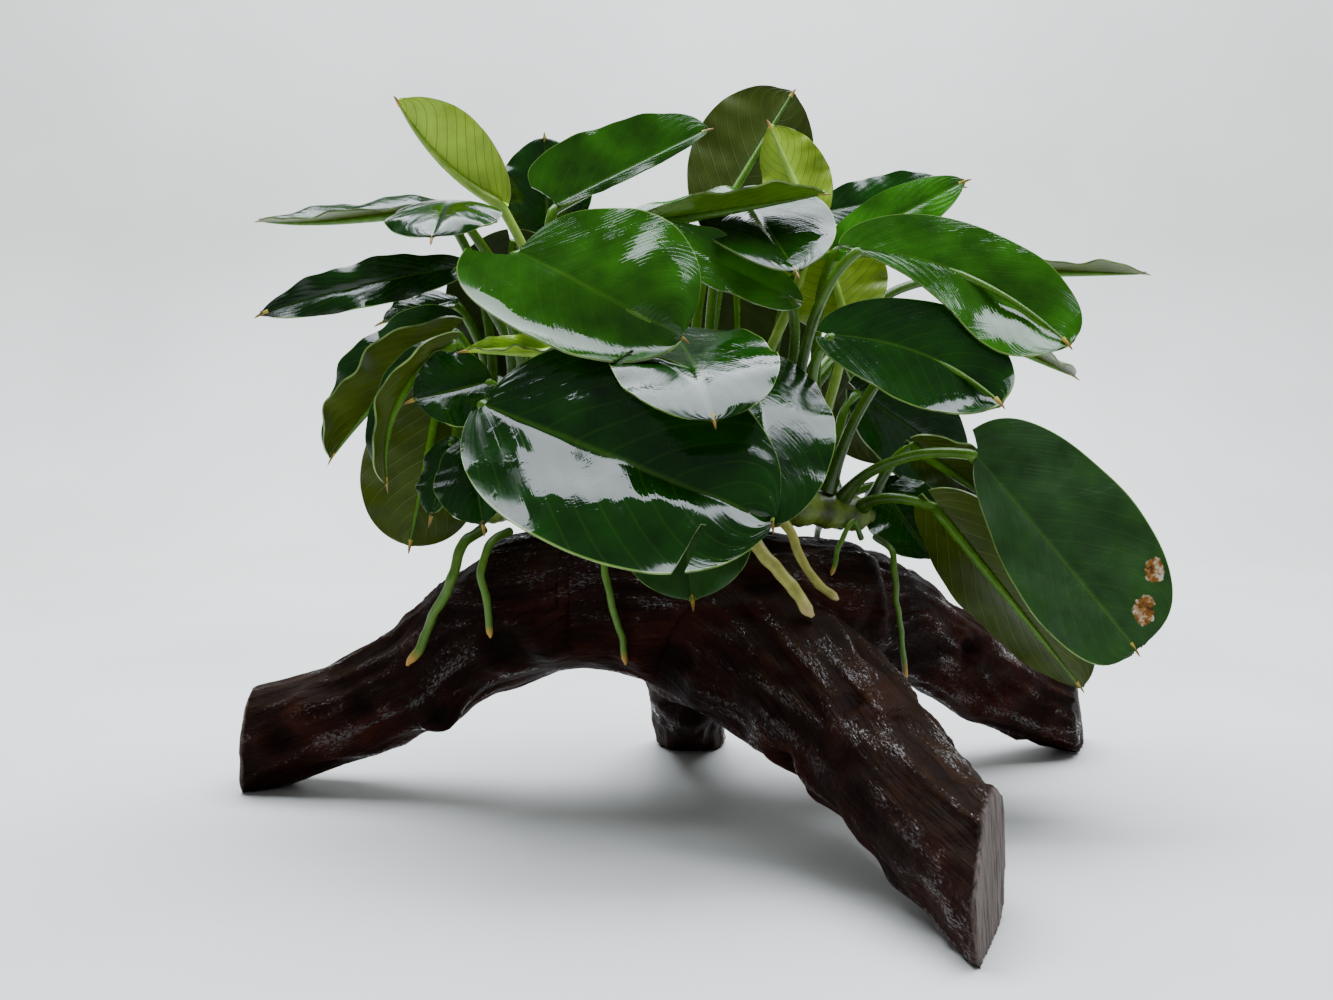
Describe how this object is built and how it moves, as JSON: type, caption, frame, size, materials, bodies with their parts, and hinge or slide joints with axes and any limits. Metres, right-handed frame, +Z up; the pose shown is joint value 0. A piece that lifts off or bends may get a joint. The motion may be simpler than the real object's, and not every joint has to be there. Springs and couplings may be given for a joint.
{
  "type": "dwarf anubias on driftwood",
  "caption": "Bushy broad-leaved water plant whose creeping stem and roots hold it on a branching piece of driftwood that stands on its limb ends",
  "frame": {"origin": "on the floor the wood stands on, under the middle of the overall box", "axes": "+Z up, X along the longest extent with the long left limb towards -X, -Y is the front, towards which the longest front leg reaches"},
  "size_m": [0.2466, 0.192, 0.1907],
  "materials": {
    "driftwood": "wet, dark, satin",
    "rhizome": "wet, satin",
    "leaf_dark": "wet, glossy",
    "leaf_bright": "wet, glossy",
    "leaf_young": "satin",
    "root_green": "satin",
    "root_pale": "satin"
  },
  "bodies": {
    "root": {"driftwood_crown": "driftwood", "driftwood_left_leg": "driftwood", "driftwood_front_right_leg": "driftwood", "driftwood_back_right_leg": "driftwood", "driftwood_rear_foot": "driftwood", "rhizome": "rhizome", "leaf_top_left_young": "leaf_young", "leaf_far_left_high": "leaf_dark", "leaf_left_high_drooping": "leaf_dark", "leaf_back_left_upright": "leaf_dark", "leaf_front_left_bright": "leaf_bright", "leaf_top_left_broad": "leaf_bright", "leaf_top_back_upright": "leaf_dark", "leaf_top_young_rolled": "leaf_young", "leaf_top_middle": "leaf_dark", "leaf_top_boat_shaped": "leaf_bright", "leaf_middle_narrow": "leaf_bright", "leaf_top_right": "leaf_dark", "leaf_right_pale_upright": "leaf_young", "leaf_right_bright": "leaf_bright", "leaf_right_large": "leaf_bright", "leaf_right_middle": "leaf_dark", "leaf_right_small": "leaf_dark", "leaf_far_right_high": "leaf_dark", "leaf_low_right_largest": "leaf_dark", "leaf_low_right_hanging": "leaf_dark", "leaf_right_inner_dark": "leaf_dark", "leaf_right_inner_low": "leaf_dark", "leaf_right_inner_small": "leaf_dark", "leaf_front_largest": "leaf_dark", "leaf_front_middle": "leaf_dark", "leaf_front_right_dark": "leaf_dark", "leaf_front_lowest": "leaf_dark", "leaf_left_low_round": "leaf_dark", "leaf_left_rolled": "leaf_dark", "leaf_left_arching": "leaf_dark", "leaf_far_left_middle": "leaf_dark", "leaf_left_small": "leaf_dark", "leaf_left_inner_dark": "leaf_dark", "leaf_young_unrolling": "leaf_young", "leaf_left_low_narrow": "leaf_dark", "leaf_front_left_low": "leaf_dark", "leaf_back_high_left": "leaf_bright", "leaf_back_high_middle": "leaf_bright", "leaf_back_high_right": "leaf_dark", "leaf_back_low_left": "leaf_dark", "leaf_back_middle_left": "leaf_dark", "leaf_back_middle_right": "leaf_dark", "leaf_back_low_right": "leaf_dark", "leaf_back_far_right": "leaf_dark", "root_left_long": "root_green", "root_left_short": "root_green", "root_front_left": "root_green", "root_front_thick": "root_pale", "root_front_thin": "root_pale", "root_right_fine": "root_green", "root_right_hanging": "root_green", "root_back_left": "root_green", "root_back_middle": "root_pale", "root_back_right": "root_green"}
  },
  "joints": []
}
